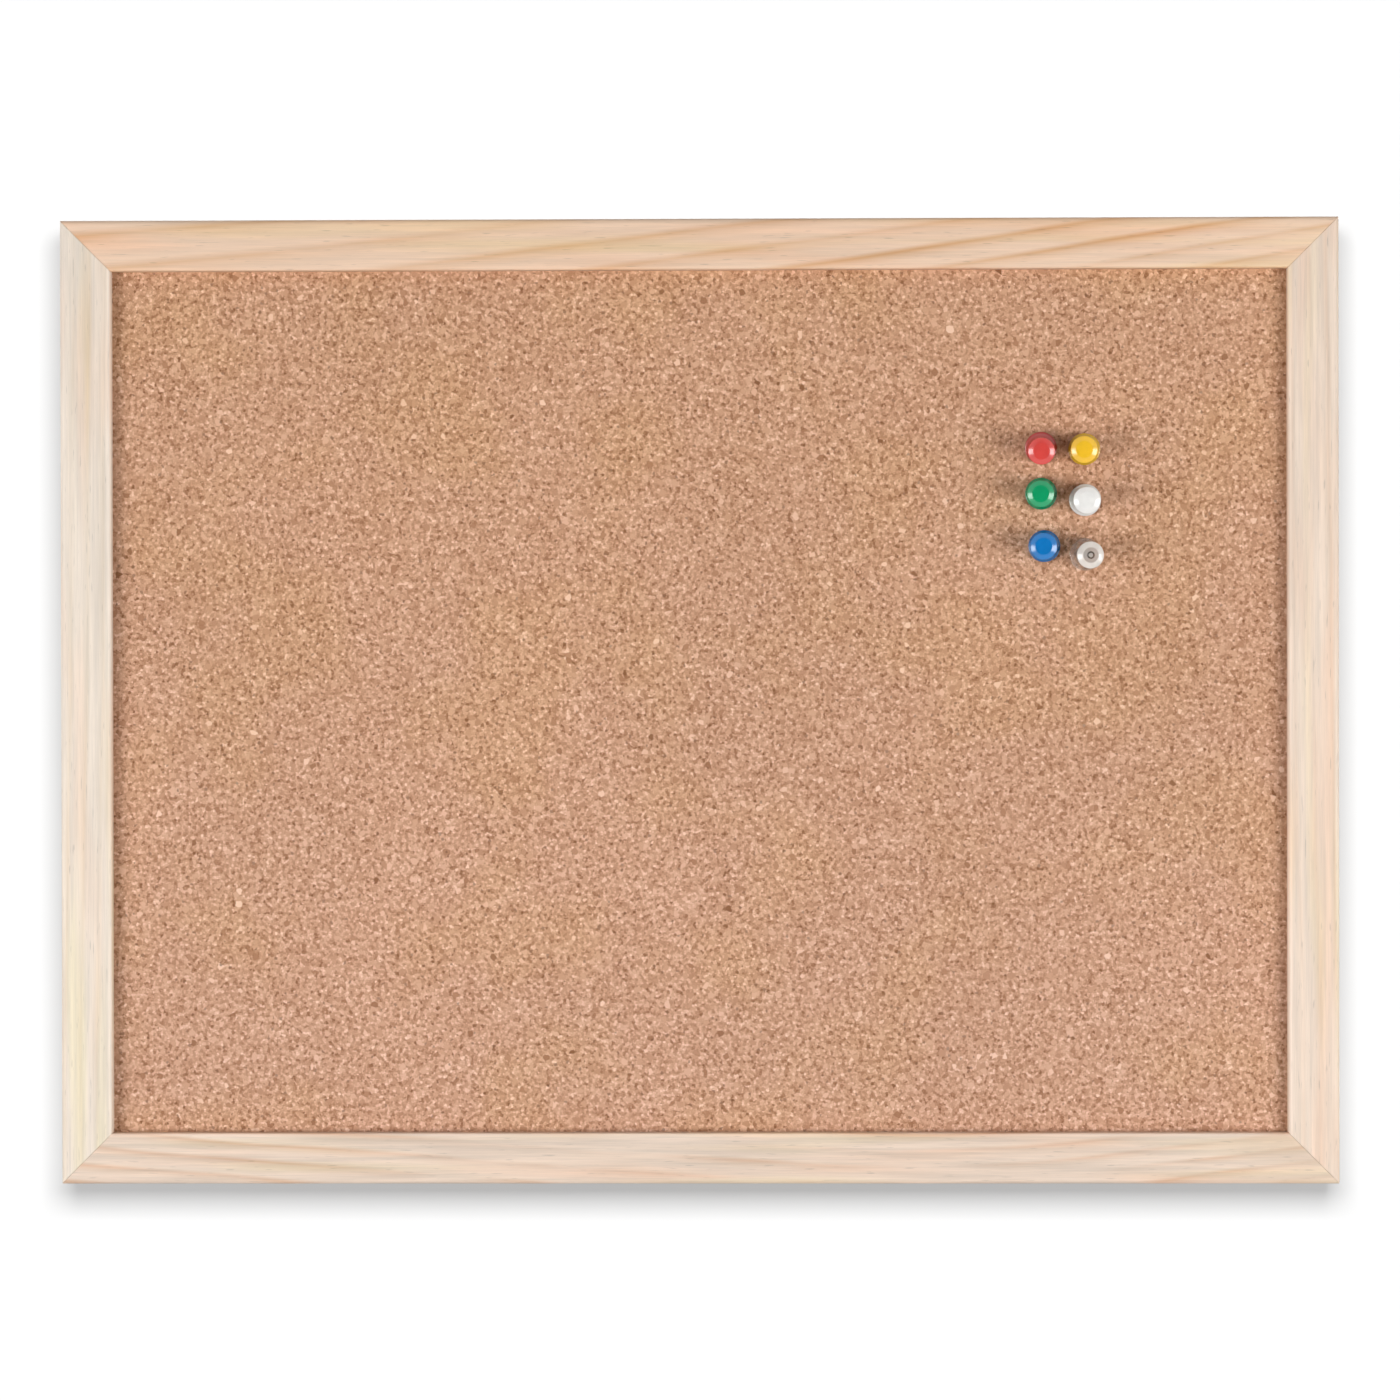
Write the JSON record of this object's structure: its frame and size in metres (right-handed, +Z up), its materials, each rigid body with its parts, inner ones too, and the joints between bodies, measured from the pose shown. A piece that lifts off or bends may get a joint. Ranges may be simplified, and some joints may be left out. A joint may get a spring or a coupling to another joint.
{
  "type": "cork pin board",
  "caption": "Pine-framed cork pin board with mitred corners, hardboard back, push pins that pull out and swinging D-ring hangers for hanging it on a wall.",
  "frame": {"origin": "middle of the top rail's back face, where the hung board bears on the wall", "axes": "+X to the right seen from the front, +Y from the front into the wall, +Z up"},
  "size_m": [0.4, 0.0321, 0.302],
  "materials": {
    "pine": "matte",
    "cork": "matte",
    "softboard": "matte",
    "hardboard": "matte",
    "steel": "satin",
    "zinc": "satin",
    "red_plastic": "gloss",
    "yellow_plastic": "gloss",
    "green_plastic": "gloss",
    "white_plastic": "gloss",
    "blue_plastic": "gloss",
    "clear_plastic": "polished"
  },
  "bodies": {
    "board": {"top_rail": "pine", "right_stile": "pine", "bottom_rail": "pine", "left_stile": "pine", "cork_sheet": "cork", "softboard_core": "softboard", "hardboard_backing": "hardboard", "corner_nail_top_left": "steel", "corner_nail_top_right": "steel", "corner_nail_bottom_right": "steel", "corner_nail_bottom_left": "steel", "panel_point_top_rail_1": "steel", "panel_point_top_rail_2": "steel", "panel_point_top_rail_3": "steel", "panel_point_right_stile_1": "steel", "panel_point_right_stile_2": "steel", "panel_point_bottom_rail_1": "steel", "panel_point_bottom_rail_2": "steel", "panel_point_bottom_rail_3": "steel", "panel_point_left_stile_1": "steel", "panel_point_left_stile_2": "steel", "left_hanger_strap": "zinc", "left_hanger_screw": "zinc", "right_hanger_strap": "zinc", "right_hanger_screw": "zinc"},
    "red_pin": {"red_pin_grip": "red_plastic", "red_pin_needle": "steel"},
    "yellow_pin": {"yellow_pin_grip": "yellow_plastic", "yellow_pin_needle": "steel"},
    "green_pin": {"green_pin_grip": "green_plastic", "green_pin_needle": "steel"},
    "white_pin": {"white_pin_grip": "white_plastic", "white_pin_needle": "steel"},
    "blue_pin": {"blue_pin_grip": "blue_plastic", "blue_pin_needle": "steel"},
    "clear_pin": {"clear_pin_grip": "clear_plastic", "clear_pin_needle": "steel"},
    "left_ring": {"left_hanger_ring": "zinc"},
    "right_ring": {"right_hanger_ring": "zinc"}
  },
  "joints": [
    {"name": "red_pin_pull", "type": "slide", "parent": "board", "child": "red_pin", "axis": [-0.0576, -0.9861, -0.1562], "range_m": [0, 0.03]},
    {"name": "yellow_pin_pull", "type": "slide", "parent": "board", "child": "yellow_pin", "axis": [-0.0872, -0.9938, -0.0695], "range_m": [0, 0.03]},
    {"name": "green_pin_pull", "type": "slide", "parent": "board", "child": "green_pin", "axis": [-0.0872, -0.9948, -0.0521], "range_m": [0, 0.03]},
    {"name": "white_pin_pull", "type": "slide", "parent": "board", "child": "white_pin", "axis": [-0.0349, -0.998, -0.0523], "range_m": [0, 0.03]},
    {"name": "blue_pin_pull", "type": "slide", "parent": "board", "child": "blue_pin", "axis": [-0.0958, -0.9946, -0.0399], "range_m": [0, 0.03]},
    {"name": "clear_pin_pull", "type": "slide", "parent": "board", "child": "clear_pin", "axis": [0.0523, -0.9973, -0.0523], "range_m": [0, 0.03]},
    {"name": "left_ring_swing", "type": "hinge", "parent": "board", "child": "left_ring", "pos_m": [-0.1933, 0.0023, -0.03925], "axis": [1, 0, 0], "range_deg": [0, 180]},
    {"name": "right_ring_swing", "type": "hinge", "parent": "board", "child": "right_ring", "pos_m": [0.1933, 0.0023, -0.03925], "axis": [1, 0, 0], "range_deg": [0, 180]}
  ]
}
